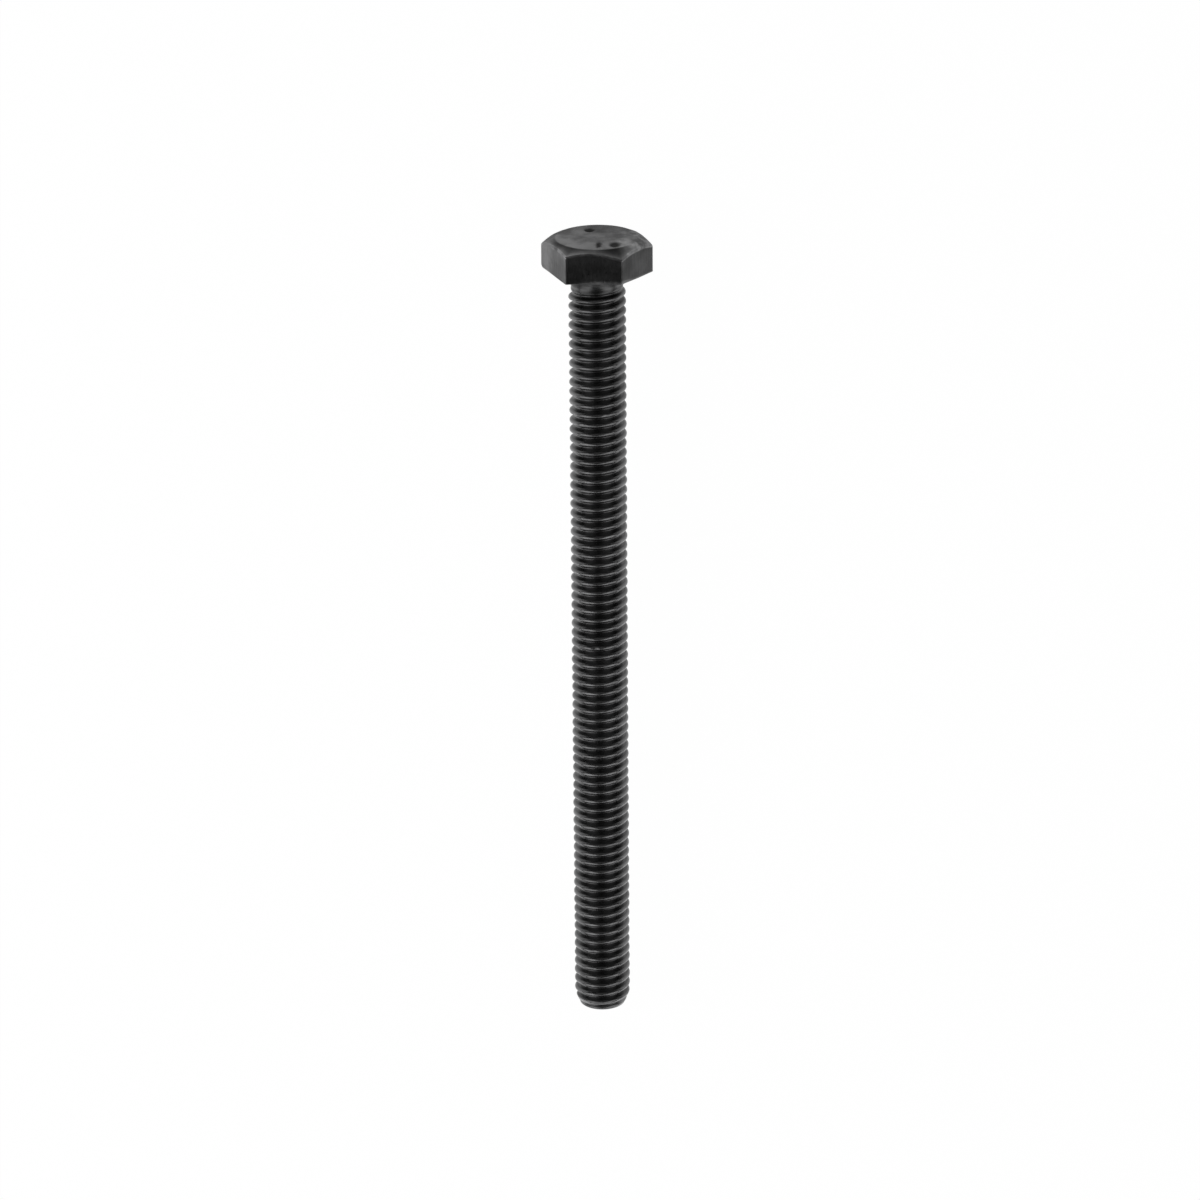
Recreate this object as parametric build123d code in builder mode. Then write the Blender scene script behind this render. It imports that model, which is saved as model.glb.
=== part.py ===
"""Alternator adjusting bolt: a hexagon-head screw, M6 x 1 x 80, threaded all the way up to the head.

The screw is forged and rolled from one piece of wire, so it is one solid. It lies as it comes to rest
on a level surface: the bearing-side edge of one head flat and the last full thread crest touch the
surface at z = 0, so the axis drops a little towards the tip. +X runs from the head to the tip, +Z is
up, and the origin is the middle of the base of the screw's box.

The shank is drawn as the envelope of its thread: the bare neck at the size of the wire, the run-out
cone where the thread rises to full height, the crests' cylinder, and the chamfered point.
"""

import os
from math import asin, atan, cos, hypot, radians, sin, sqrt, tan

from build123d import *

# Head, in millimetres and degrees
across_flats = 9.7
hex_height = 3.35
corner_radius = 0.15  # rounding of the six upright corners
crown_inset = 0.7  # from a flat to the rim of the crown, the round flat on top of the head
crown_angle = 33  # slope of the chamfer outside the crown
crown_rim_radius = 0.3  # rounding of the rim where the crown meets its chamfer
underside_edge_radius = 0.2  # rounding of the hexagon's edge on the bearing side

# Bearing face below the head
washer_face_inset = 0.4  # from a flat to the rim of the raised washer face
washer_face_height = 0.2

# Shank and thread
shank_length = 80.2  # bearing face to point, inside the tolerance of a nominal 80
thread_pitch = 1.0
thread_diameter = 5.88  # over the crests, in the middle of the 6g tolerance
neck_length = 1.0  # bare wire between the bearing face and the thread's run-out
neck_fillet = 0.75
run_out_turns = 1.5  # turns over which the crests rise from the wire to full height
point_chamfer = 0.5  # 45 degree chamfer on the point

# A metric thread is rolled from wire of its pitch diameter, which is smaller than the diameter over
# the crests by 3/4 of the height of the thread's sharp triangle
triangle_height = sqrt(3) / 2 * thread_pitch
wire_diameter = thread_diameter - 3 / 4 * triangle_height

# Radii about the axis
flat_radius = across_flats / 2
corner_reach = flat_radius / cos(radians(30))  # of the sharp hexagon
crown_radius = flat_radius - crown_inset
washer_radius = flat_radius - washer_face_inset
wire_radius = wire_diameter / 2
thread_radius = thread_diameter / 2
point_radius = thread_radius - point_chamfer

# Stations along the axis, from the underside of the hexagon towards the point
crown_station = -hex_height
bearing_station = washer_face_height
run_out_station = bearing_station + neck_length
full_thread_station = run_out_station + run_out_turns * thread_pitch
point_station = bearing_station + shank_length
last_crest_station = point_station - point_chamfer

# Rest: the rounded edge of the lower flat and the last crest are both on the surface
edge_to_crest = last_crest_station + underside_edge_radius
edge_above_crest = flat_radius - underside_edge_radius - thread_radius
rest_tilt = atan(edge_above_crest / edge_to_crest)
rest_tilt += asin(underside_edge_radius / hypot(edge_to_crest, edge_above_crest))
along = Vector(cos(rest_tilt), 0, -sin(rest_tilt))  # down the axis, towards the point

# The middle of the screw's box is over the origin, and its lowest points are at z = 0
head_end_x = crown_station * cos(rest_tilt) - crown_radius * sin(rest_tilt)
point_end_x = point_station * cos(rest_tilt) + point_radius * sin(rest_tilt)
axis_height = last_crest_station * sin(rest_tilt) + thread_radius * cos(rest_tilt)
underside_centre = Vector(-(head_end_x + point_end_x) / 2, 0, axis_height)

# The hexagon is drawn square to the axis, and everything turned is drawn as a half section beside it
underside_plane = Plane(origin=underside_centre, x_dir=(0, 1, 0), z_dir=along)
section_plane = Plane(origin=underside_centre, x_dir=along, z_dir=(0, -1, 0))
bolt_axis = Axis(underside_centre, along)

with BuildPart() as bolt:
    # Hexagon, with one flat up and one flat down, and its bearing-side edge rounded
    with BuildSketch(underside_plane) as hexagon:
        RegularPolygon(radius=flat_radius, side_count=6, major_radius=False)
        fillet(hexagon.vertices(), radius=corner_radius)
    extrude(amount=-hex_height)
    underside = bolt.faces().sort_by(bolt_axis)[-1]
    fillet(underside.edges(), radius=underside_edge_radius)

    # Turned shape of the head: the crown and the chamfer around it
    crown_drop = (corner_reach - crown_radius) * tan(radians(crown_angle))
    with BuildSketch(section_plane) as head_section:
        with BuildLine():
            Polyline(
                (crown_station, 0),
                (crown_station, crown_radius),
                (crown_station + crown_drop, corner_reach),
                (0, corner_reach),
                (0, 0),
                close=True,
            )
        make_face()
        crown_rim = head_section.vertices().sort_by_distance((crown_station, crown_radius))[0]
        fillet(crown_rim, radius=crown_rim_radius)
    revolve(axis=bolt_axis, mode=Mode.INTERSECT)

    # Washer face, neck, run-out, thread envelope and point, as one half section
    with BuildSketch(section_plane) as shank_section:
        with BuildLine():
            Polyline(
                (0, 0),
                (0, washer_radius),
                (bearing_station, washer_radius),
                (bearing_station, wire_radius),
                (run_out_station, wire_radius),
                (full_thread_station, thread_radius),
                (last_crest_station, thread_radius),
                (point_station, point_radius),
                (point_station, 0),
                close=True,
            )
        make_face()
        neck_corner = shank_section.vertices().sort_by_distance((bearing_station, wire_radius))[0]
        fillet(neck_corner, radius=neck_fillet)
    revolve(axis=bolt_axis)

bolt.part.label = "adjusting_bolt"
os.makedirs("parts", exist_ok=True)
export_step(bolt.part, "parts/adjusting_bolt.step")
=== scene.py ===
"""Alternator adjusting bolt: a long hexagon-head screw, threaded right up to its head.

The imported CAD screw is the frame. One closed skin takes its place: the forged head, the neck, the
rolled thread with its run-in and its chamfered point. The thread runs along the rows of the mesh,
so its crests and roots are true edges of the helix. The screw's lengths and the camera's place are
in millimetres until a point is placed. Everything else is in metres.
"""

import logging
import math
from dataclasses import dataclass, field
from enum import Enum

import bpy
import numpy as np
from mathutils import Matrix, Vector, noise


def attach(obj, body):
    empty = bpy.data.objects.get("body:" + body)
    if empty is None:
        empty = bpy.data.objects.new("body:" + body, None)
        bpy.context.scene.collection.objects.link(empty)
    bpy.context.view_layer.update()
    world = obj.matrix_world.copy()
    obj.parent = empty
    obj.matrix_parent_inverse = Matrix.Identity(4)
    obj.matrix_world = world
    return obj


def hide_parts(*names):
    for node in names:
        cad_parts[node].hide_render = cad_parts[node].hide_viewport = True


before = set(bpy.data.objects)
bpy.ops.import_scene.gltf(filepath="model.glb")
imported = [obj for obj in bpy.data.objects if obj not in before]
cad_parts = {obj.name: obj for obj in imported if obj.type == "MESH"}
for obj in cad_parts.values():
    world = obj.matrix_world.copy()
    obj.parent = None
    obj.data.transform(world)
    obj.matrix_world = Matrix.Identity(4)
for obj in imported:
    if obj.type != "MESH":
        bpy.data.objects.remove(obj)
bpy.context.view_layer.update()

LOG = logging.getLogger("adjusting_bolt")
MM = 0.001
FULL_TURN = 2 * math.pi
SIXTH_TURN = math.pi / 3
NODE = "adjusting_bolt"

# One number for all points or one for each
Values = np.ndarray | float
# Where a stretch begins and ends
Span = tuple[float, float]
# Twelve numbers, one for each flat and corner of the head, from the upper flat round
Around = tuple[float, ...]
Colour = tuple[float, float, float, float]
Socket = bpy.types.NodeSocket


class Zone(Enum):
    """How a part of the surface was made, which is also its material's place on the mesh."""

    FORGED = 0
    TRIMMED = 1
    ROLLED = 2


def smooth_step(value: np.ndarray, low: float, high: float) -> np.ndarray:
    """Rises smoothly from 0 to 1 as the value goes from low to high.

    Args:
        value: Numbers to ease.
        low: Where the rise starts.
        high: Where the rise ends.

    Returns:
        The eased shares, between 0 and 1.
    """
    share = np.clip((value - low) / (high - low), 0.0, 1.0)
    return share * share * (3 - 2 * share)


def wobble(points: np.ndarray, cell: float, seed: float) -> np.ndarray:
    """Gives smooth noise for a list of points.

    Args:
        points: Places in millimetres, one row each.
        cell: Size of the noise's features in millimetres.
        seed: Shifts the noise, so that two uses differ.

    Returns:
        One number for each point, roughly between -1 and 1.
    """
    moved = points / cell + seed
    return np.array([noise.noise(Vector(row)) for row in moved])


def add_object(name: str, data: bpy.types.ID) -> bpy.types.Object:
    """Adds an object to the scene.

    Args:
        name: Name of the object.
        data: Its mesh, lamp or camera.

    Returns:
        The new object.
    """
    made = bpy.data.objects.new(name, data)
    bpy.context.scene.collection.objects.link(made)
    return made


@dataclass(frozen=True)
class RestPose:
    """Where the screw lies: on the rounded edge of its lower flat and on its last full crest.

    Its sizes are those of the CAD screw, whose box has its middle over the origin.
    """

    flat_radius: float = 4.85
    flat_edge_radius: float = 0.2
    crown_radius: float = 4.15
    crown_station: float = -3.35
    crest_radius: float = 2.94
    last_crest_station: float = 79.9
    point_radius: float = 2.44
    point_station: float = 80.4

    @property
    def tilt(self) -> float:
        """Works out how far the axis drops towards the point.

        Returns:
            The angle, in radians.
        """
        length = self.last_crest_station + self.flat_edge_radius
        rise = self.flat_radius - self.flat_edge_radius - self.crest_radius
        return math.atan(rise / length) + math.asin(self.flat_edge_radius / math.hypot(length, rise))

    @property
    def along(self) -> np.ndarray:
        """Direction of the axis, from the head to the point."""
        return np.array([math.cos(self.tilt), 0.0, -math.sin(self.tilt)])

    @property
    def upward(self) -> np.ndarray:
        """Direction out of the upper flat, square to the axis."""
        return np.array([math.sin(self.tilt), 0.0, math.cos(self.tilt)])

    @property
    def across(self) -> np.ndarray:
        """Direction across the screw, square to the other two."""
        return np.array([0.0, 1.0, 0.0])

    @property
    def centre(self) -> np.ndarray:
        """Finds the place where the axis crosses the hexagon's underside.

        Returns:
            Its three millimetre values.
        """
        cos_tilt, sin_tilt = math.cos(self.tilt), math.sin(self.tilt)
        head_end = self.crown_station * cos_tilt - self.crown_radius * sin_tilt
        point_end = self.point_station * cos_tilt + self.point_radius * sin_tilt
        height = self.last_crest_station * sin_tilt + self.crest_radius * cos_tilt
        return np.array([-(head_end + point_end) / 2, 0.0, height])

    def place(self, station: Values, radius: Values, angle: Values) -> np.ndarray:
        """Places points given about the axis.

        Args:
            station: Distance from the hexagon's underside towards the point.
            radius: Distance from the axis.
            angle: Angle from the upward direction towards the across direction.

        Returns:
            One row of three millimetre values for each point.
        """
        station, radius, angle = np.broadcast_arrays(station, radius, angle)
        return (
            self.centre
            + station[..., None] * self.along
            + (radius * np.cos(angle))[..., None] * self.upward
            + (radius * np.sin(angle))[..., None] * self.across
        )


@dataclass
class Skin:
    """A mesh as it grows: its points with how rubbed and how much darker they are, and its faces with
    their zones.
    """

    points: list[np.ndarray] = field(default_factory=list)
    exposure: list[np.ndarray] = field(default_factory=list)
    darkening: list[np.ndarray] = field(default_factory=list)
    faces: list[tuple[int, ...]] = field(default_factory=list)
    zones: list[int] = field(default_factory=list)
    count: int = 0

    def add(self, points: np.ndarray, exposure: Values, darkening: Values = 0.0) -> np.ndarray:
        """Adds points and returns their numbers.

        Args:
            points: Places in millimetres, one row each.
            exposure: How much each point is open to rubbing, from 0 to 1.
            darkening: How much darker each point is painted, from 0 to 1, which is painted shade in
                places.

        Returns:
            The new points' numbers, in order.
        """
        points = np.asarray(points, float).reshape(-1, 3)
        self.points.append(points)
        self.exposure.append(np.broadcast_to(exposure, len(points)).astype(float))
        self.darkening.append(np.broadcast_to(darkening, len(points)).astype(float))
        numbers = np.arange(self.count, self.count + len(points))
        self.count += len(points)
        return numbers

    def face(self, corners: tuple[int, ...], zone: Zone) -> None:
        """Adds one face, without the corners that repeat their neighbour.

        Args:
            corners: Numbers of the corner points, counter-clockwise as seen from outside.
            zone: How that surface was made.
        """
        kept = [corner for place, corner in enumerate(corners) if corner != corners[place - 1]]
        if len(kept) > 2:
            self.faces.append(tuple(int(corner) for corner in kept))
            self.zones.append(zone.value)

    def bridge(self, ring: np.ndarray, following: np.ndarray, zone: Zone) -> None:
        """Joins two rings of the same number of points with four-sided faces.

        Args:
            ring: Numbers of the first ring's points.
            following: Numbers of the next ring's points, at the same angles.
            zone: How that surface was made.
        """
        ring_next, following_next = np.roll(ring, -1), np.roll(following, -1)
        for corners in zip(ring, following, following_next, ring_next):
            self.face(corners, zone)

    def close(self, ring: np.ndarray, pole: int, zone: Zone, last: bool) -> None:
        """Closes a ring onto a single point.

        Args:
            ring: Numbers of the ring's points.
            pole: Number of the point in the middle.
            zone: How that face was made.
            last: True where the pole comes after the ring.
        """
        for here, beside in zip(ring, np.roll(ring, -1)):
            self.face((beside, here, pole) if last else (pole, here, beside), zone)

    def stitch(self, ring: np.ndarray, turns: np.ndarray, following: np.ndarray,
               following_turns: np.ndarray, zone: Zone) -> None:
        """Joins two rings whose points are at different angles.

        Args:
            ring: Numbers of the first ring's points.
            turns: The first ring's angles, rising, within one turn.
            following: Numbers of the second ring's points.
            following_turns: The second ring's angles, rising, within one turn.
            zone: How that surface was made.
        """
        first = np.append(turns, turns[0] + FULL_TURN)
        second = np.append(following_turns, following_turns[0] + FULL_TURN)
        done = done_following = 0
        while done < len(ring) or done_following < len(following):
            here = ring[done % len(ring)]
            opposite = following[done_following % len(following)]
            ring_left = done < len(ring)
            following_left = done_following < len(following)
            if not following_left or (ring_left and first[done + 1] <= second[done_following + 1]):
                done += 1
                self.face((here, opposite, ring[done % len(ring)]), zone)
            else:
                done_following += 1
                self.face((here, opposite, following[done_following % len(following)]), zone)

    def to_object(self, name: str) -> bpy.types.Object:
        """Makes the mesh object, in metres, with its faces looking out.

        Args:
            name: Name of the object and its mesh.

        Returns:
            The new object, linked to the scene.
        """
        places = np.concatenate(self.points) * MM
        mesh = bpy.data.meshes.new(name)
        mesh.from_pydata(places.tolist(), [], self.faces)
        mesh.polygons.foreach_set("material_index", self.zones)
        mesh.polygons.foreach_set("use_smooth", [True] * len(self.faces))
        for label, values in (("exposure", self.exposure), ("darkening", self.darkening)):
            layer = mesh.attributes.new(label, "FLOAT", "POINT")
            layer.data.foreach_set("value", np.concatenate(values).astype(np.float32))
        mesh.validate()
        mesh.update()
        return add_object(name, mesh)


@dataclass(frozen=True)
class PunchMark:
    """A plain oval mark pressed into the crown."""

    across: float
    upward: float
    half_length: float
    half_width: float
    depth: float
    # Share of its size up to which the mark has its full depth
    floor_share: float = 0.45

    def pressed(self, across: np.ndarray, upward: np.ndarray) -> np.ndarray:
        """Depth of the mark at places on the crown.

        Args:
            across: Distance from the axis across the screw.
            upward: Distance from the axis towards the upper flat.

        Returns:
            How far the crown is pressed in at each place.
        """
        sideways = (across - self.across) / self.half_length
        outward = (upward - self.upward) / self.half_width
        reach = np.sqrt(sideways**2 + outward**2)
        return self.depth * (1 - smooth_step(reach, self.floor_share, 1.0))


@dataclass
class HeadRing:
    """One ring of points round the head, and how the faces that end on it were made."""

    station: Values
    radius: Values
    exposure: float
    zone: Zone
    darkness: Values = 0.0


@dataclass
class HexHead:
    """The forged head: crown, chamfer, six trimmed flats and the washer face under them."""

    across_flats: float = 9.7
    height: float = 3.35
    corner_radius: float = 0.14
    crown_inset: float = 0.7
    crown_angle: float = math.radians(33)
    crown_rim_radius: float = 0.3
    # How much wider the crown's circle is on the side away from the upper flat
    crown_swell: float = 0.2
    # Rounding of the edge where the chamfer meets the wall, and the share of it that each place has
    wall_edge_radius: float = 0.30
    wall_edge_softness: Around = (
        0.5, 0.8, 1.2, 1.2, 1.0, 1.0, 1.0, 1.0, 1.0, 1.2, 1.1, 0.7,
    )
    # How much lower than a true cone the chamfer ends, or higher where below zero
    chamfer_drops: Around = (
        -0.10, 0.0, 0.0, -0.22, -0.10, -0.12, -0.10, -0.12, -0.10, -0.25, -0.12, -0.26,
    )
    # Height of the rounded edge on the bearing side, and its depth as a share of that
    edge_heights: Around = (
        0.23, 0.36, 0.10, 0.08, 0.20, 0.16, 0.20, 0.14, 0.22, 0.62, 0.20, 0.09,
    )
    edge_depth: float = 0.7
    # How far the hexagon's lower edge hangs past its nominal underside
    sags: Around = (0.0, 0.12, 0.13, 0.14, 0.10, 0.0, 0.0, 0.0, 0.0, 0.0, 0.0, 0.14)
    washer_inset: float = 0.4
    washer_height: float = 0.2
    washer_edge: float = 0.05
    washer_band: float = 0.15
    inner_ring: float = 3.75
    punch_marks: tuple[PunchMark, ...] = (
        PunchMark(across=-0.9, upward=-2.45, half_length=0.58, half_width=0.70, depth=0.16),
        PunchMark(across=0.35, upward=2.55, half_length=0.40, half_width=1.30, depth=0.08),
        PunchMark(across=1.95, upward=2.35, half_length=0.75, half_width=1.20, depth=0.09),
    )

    # The mesh: degrees of the columns from the middle of a flat to its corner, and places of the rings
    column_degrees: tuple[float, ...] = (0.0, 5.0, 10.0, 15.0, 20.0, 24.0, 27.0, 28.6, 29.27, 29.65, 30.0)
    first_ring: float = 0.14
    rim_gap: float = 0.06
    crown_rings_count: int = 30
    rim_rings_count: int = 5
    edge_rings_count: int = 6
    chamfer_shares: tuple[float, ...] = (0.12, 0.5, 0.88)
    wall_shares: tuple[float, ...] = (0.05, 0.25, 0.5, 0.75, 0.95)
    underside_shares: tuple[float, ...] = (0.3, 0.85, 1.0)

    # Waves of the forging: size and seed, and their heights on the crown and on the flats
    wave_cell: float = 2.6
    wave_seed: float = 3.1
    ripple_cell: float = 0.8
    ripple_seed: float = 7.7
    crown_wave: float = 0.022
    crown_ripple: float = 0.006
    crown_sink: float = 0.02
    flat_wave: float = 0.014
    flat_ripple: float = 0.004
    flat_sink: float = 0.016
    # Depths below the top between which the crown's waves and wear fade out
    crown_fade: Span = (0.05, 0.9)
    # Width of the band in which the flats' waves fade in, and how far above the underside they stop
    flat_fade: float = 0.25
    flat_clear: float = 0.02

    # How open to rubbing each surface is
    crown_exposure: float = 0.25
    rim_exposure: float = 0.3
    wall_edge_exposure: float = 1.0
    wall_exposure: float = 0.2
    underside_exposure: float = 0.1
    washer_edge_exposure: float = 0.5
    # Painted highlight on one side of the crown, made as extra rubbing: how much, and where that side
    # begins and is full
    crown_side_highlight: float = 0.60
    crown_highlight_band: Span = (0.8, 3.2)
    # Painted shade on the chamfer, which differs round the head, and how much of that is gone at its
    # lower edge, then the painted shade on each of the six flats, and how much darker their lower edge is
    chamfer_shade: Around = (
        0.42, 1.00, 0.00, 0.00, 0.10, 0.30, 0.30, 0.30, 0.30, 0.40, 0.85, 0.85,
    )
    chamfer_fade: float = 0.85
    flat_shade: tuple[float, ...] = (0.46, 0.68, 0.4, 0.3, 0.3, 0.0)
    edge_dullness: float = 0.15
    # Darker along the crown's middle, a painted shadow towards its lower side by the table, and the depth
    # of a punch mark that is darkened fully
    crown_middle_darkness: float = 0.23
    middle_spread: float = 2.2
    crown_lower_shadow: float = 0.35
    lower_band: Span = (0.5, 4.0)
    dull_mark_depth: float = 0.1

    @property
    def flat_radius(self) -> float:
        """Distance from the axis to a flat."""
        return self.across_flats / 2

    @property
    def crown_radius(self) -> float:
        """Radius of the round flat on top of the head."""
        return self.flat_radius - self.crown_inset

    def columns(self) -> np.ndarray:
        """Lays out the head's columns, closest together round the six corners.

        Returns:
            Their angles, rising, over one turn.
        """
        back = [60 - degrees for degrees in self.column_degrees[-2:0:-1]]
        sector = list(self.column_degrees) + back
        return np.radians([60 * flat + degrees for flat in range(6) for degrees in sector])

    def wall_radius(self, angle: np.ndarray) -> np.ndarray:
        """Distance from the axis to the hexagon's wall, round corners included.

        Args:
            angle: Angles from the upward direction.

        Returns:
            The distance at each angle.
        """
        off_flat = (angle + SIXTH_TURN / 2) % SIXTH_TURN - SIXTH_TURN / 2
        flat = self.flat_radius / np.cos(off_flat)
        off_corner = angle % SIXTH_TURN - SIXTH_TURN / 2
        inset_flat = self.flat_radius - self.corner_radius
        middle = inset_flat / math.cos(SIXTH_TURN / 2)
        inside = np.maximum(self.corner_radius**2 - (middle * np.sin(off_corner)) ** 2, 0.0)
        rounded = middle * np.cos(off_corner) + np.sqrt(inside)
        tangent = math.atan(inset_flat * math.tan(SIXTH_TURN / 2) / self.flat_radius)
        return np.where(np.abs(off_flat) <= tangent, flat, rounded)

    def round_about(self, values: Around, angle: np.ndarray) -> np.ndarray:
        """Reads a tuple of twelve values, one for each flat and corner, at any angle.

        Args:
            values: The values, from the upper flat round.
            angle: Angles from the upward direction.

        Returns:
            The value at each angle.
        """
        stops = np.arange(len(values) + 1) * FULL_TURN / len(values)
        return np.interp(angle % FULL_TURN, stops, values + values[:1])

    def crown_edge(self, angle: np.ndarray) -> np.ndarray:
        """Radius at which the crown and the chamfer would meet in a sharp edge."""
        return self.crown_radius + self.crown_swell * smooth_step(-np.cos(angle), 0.0, 1.0)

    def rim_start(self, angle: np.ndarray) -> np.ndarray:
        """Radius at which the crown's rounded rim starts."""
        return self.crown_edge(angle) - self.crown_rim_radius * math.tan(self.crown_angle / 2)

    def wall_edge(self, angle: np.ndarray) -> tuple[np.ndarray, np.ndarray, np.ndarray]:
        """Finds the rounded edge where the chamfer meets the wall.

        Args:
            angle: The columns' angles.

        Returns:
            The station that a sharp edge would have, the rounding's radius, and its reach either way.
        """
        drop = (self.wall_radius(angle) - self.crown_edge(angle)) * math.tan(self.crown_angle)
        meeting = -self.height + drop + self.round_about(self.chamfer_drops, angle)
        rounding = self.wall_edge_radius * self.round_about(self.wall_edge_softness, angle)
        bend = math.pi / 2 - self.crown_angle
        return meeting, rounding, rounding * math.tan(bend / 2)

    def crown_rings(self, angle: np.ndarray) -> list[HeadRing]:
        """Lays out the crown and its rounded rim.

        Args:
            angle: The columns' angles.

        Returns:
            The rings, from the middle outwards.
        """
        top = -self.height
        start = self.rim_start(angle)
        # Painted shade on the crown's rim, growing towards the chamfer
        darkness = self.round_about(self.chamfer_shade, angle)
        rings = []
        for share in np.linspace(0.0, 1.0, self.crown_rings_count):
            radius = self.first_ring + (start - self.first_ring - self.rim_gap) * share
            rings.append(HeadRing(top, radius, self.crown_exposure, Zone.FORGED))
        for turn in np.linspace(0.0, self.crown_angle, self.rim_rings_count):
            station = top + self.crown_rim_radius * (1 - math.cos(turn))
            radius = start + self.crown_rim_radius * math.sin(turn)
            dull = darkness * turn / self.crown_angle
            rings.append(HeadRing(station, radius, self.rim_exposure, Zone.FORGED, dull))
        return rings

    def chamfer_rings(self, angle: np.ndarray) -> list[HeadRing]:
        """Lays out the chamfer and the rounded edge where it meets the wall.

        Args:
            angle: The columns' angles.

        Returns:
            The rings, from the crown's rim down.
        """
        wall = self.wall_radius(angle)
        meeting, rounding, reach = self.wall_edge(angle)
        end_radius = wall - reach * math.cos(self.crown_angle)
        end_station = meeting - reach * math.sin(self.crown_angle)
        rim_radius = self.rim_start(angle) + self.crown_rim_radius * math.sin(self.crown_angle)
        rim_station = -self.height + self.crown_rim_radius * (1 - math.cos(self.crown_angle))
        # Painted shade on the chamfer, which differs round the head
        darkness = self.round_about(self.chamfer_shade, angle)
        rings = []
        for share in self.chamfer_shares:
            station = rim_station + (end_station - rim_station) * share
            radius = rim_radius + (end_radius - rim_radius) * share
            dull = darkness * (1 - self.chamfer_fade * share**2)
            rings.append(HeadRing(station, radius, self.rim_exposure, Zone.FORGED, dull))
        for turn in np.linspace(self.crown_angle, math.pi / 2, self.edge_rings_count):
            station = meeting + reach - rounding * math.cos(turn)
            radius = wall - rounding * (1 - math.sin(turn))
            rings.append(HeadRing(station, radius, self.wall_edge_exposure, Zone.FORGED))
        return rings

    def wall_rings(self, angle: np.ndarray) -> list[HeadRing]:
        """Lays out the six flats and the rounded edge on the bearing side.

        Args:
            angle: The columns' angles.

        Returns:
            The rings, from the chamfer's edge down.
        """
        wall = self.wall_radius(angle)
        meeting, _, reach = self.wall_edge(angle)
        start = meeting + reach
        edge = self.round_about(self.edge_heights, angle)
        sag = self.round_about(self.sags, angle)
        # Painted shade, darker on some flats than on others
        flat = ((angle + SIXTH_TURN / 2) // SIXTH_TURN).astype(int) % 6
        dull = np.array(self.flat_shade)[flat]
        rings = []
        for share in self.wall_shares:
            station = start + (sag - edge - start) * share
            rings.append(HeadRing(station, wall, self.wall_exposure, Zone.TRIMMED, dull))
        for turn in np.linspace(0.0, math.pi / 2, self.edge_rings_count):
            station = sag - edge * (1 - math.sin(turn))
            radius = wall - edge * self.edge_depth * (1 - math.cos(turn))
            rings.append(HeadRing(station, radius, self.wall_exposure, Zone.TRIMMED, self.edge_dullness))
        return rings

    def underside_rings(self, angle: np.ndarray) -> list[HeadRing]:
        """Lays out the underside and the washer face.

        Args:
            angle: The columns' angles.

        Returns:
            The rings, from the lower edge inwards.
        """
        sag = self.round_about(self.sags, angle)
        outer = self.wall_radius(angle) - self.round_about(self.edge_heights, angle) * self.edge_depth
        rim = self.flat_radius - self.washer_inset
        level = self.washer_height
        rings = []
        for share in self.underside_shares:
            radius = outer + (rim - outer) * share
            rings.append(HeadRing(sag * (1 - share), radius, self.underside_exposure, Zone.FORGED))
        rings.append(HeadRing(level - self.washer_edge, rim, self.rim_exposure, Zone.FORGED))
        rings.append(HeadRing(level, rim - self.washer_edge, self.washer_edge_exposure, Zone.FORGED))
        for radius in (rim - self.washer_band, (rim + self.inner_ring) / 2, self.inner_ring):
            rings.append(HeadRing(level, radius, self.wall_exposure, Zone.FORGED))
        return rings

    def wear(self, ring: HeadRing, across: np.ndarray, upward: np.ndarray,
             on_crown: np.ndarray, pressed: np.ndarray) -> tuple[np.ndarray, np.ndarray]:
        """Works out how rubbed a ring's points are and how much darker they are painted.

        Args:
            ring: The ring.
            across: Distance of its points from the axis across the screw.
            upward: Distance of its points from the axis towards the upper flat.
            on_crown: How much of the crown's wear each point has.
            pressed: Depth of the punch marks at each point.

        Returns:
            The exposure and the darkening of each point.
        """
        # Darker along the crown's middle and in the punch marks, with a painted shadow towards its lower
        # side by the table
        dull = self.crown_middle_darkness * np.exp(-((across / self.middle_spread) ** 2))
        dull = dull + self.crown_lower_shadow * smooth_step(-upward, *self.lower_band)
        dull = (dull + pressed / self.dull_mark_depth) * on_crown
        darkening = np.clip(dull + ring.darkness, 0.0, 1.0)
        # Painted highlight: one side of the crown is rubbed brighter
        rubbed = self.crown_side_highlight * smooth_step(across, *self.crown_highlight_band)
        return np.clip(ring.exposure + rubbed * on_crown, 0.0, 1.0) * (1 - darkening), darkening

    def build(self, skin: Skin, pose: RestPose) -> tuple[np.ndarray, np.ndarray]:
        """Adds the head to the skin.

        Args:
            skin: The mesh that the head starts.
            pose: Where the screw lies.

        Returns:
            The numbers of the last ring's points, and its angles.
        """
        angle = self.columns()
        rings = self.crown_rings(angle) + self.chamfer_rings(angle)
        rings += self.wall_rings(angle) + self.underside_rings(angle)
        stations = np.array([np.broadcast_to(ring.station, angle.shape) for ring in rings])
        radii = np.array([np.broadcast_to(ring.radius, angle.shape) for ring in rings])
        across, upward = radii * np.sin(angle), radii * np.cos(angle)

        # The forging's unevenness: the crown and flats wave a little, and the punch marks sink in
        places = pose.place(stations, radii, angle).reshape(-1, 3)
        wave = wobble(places, self.wave_cell, self.wave_seed).reshape(stations.shape)
        ripple = wobble(places, self.ripple_cell, self.ripple_seed).reshape(stations.shape)
        on_crown = 1 - smooth_step(stations + self.height, *self.crown_fade)
        on_flat = smooth_step(radii, self.flat_radius - self.flat_fade, self.flat_radius)
        on_flat = on_flat * (stations < -self.flat_clear)
        pressed = sum(mark.pressed(across, upward) for mark in self.punch_marks)
        sunk = self.crown_sink + self.crown_wave * wave + self.crown_ripple * ripple + pressed
        stations = stations + on_crown * sunk
        radii = radii - on_flat * (self.flat_sink + self.flat_wave * wave + self.flat_ripple * ripple)

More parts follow.
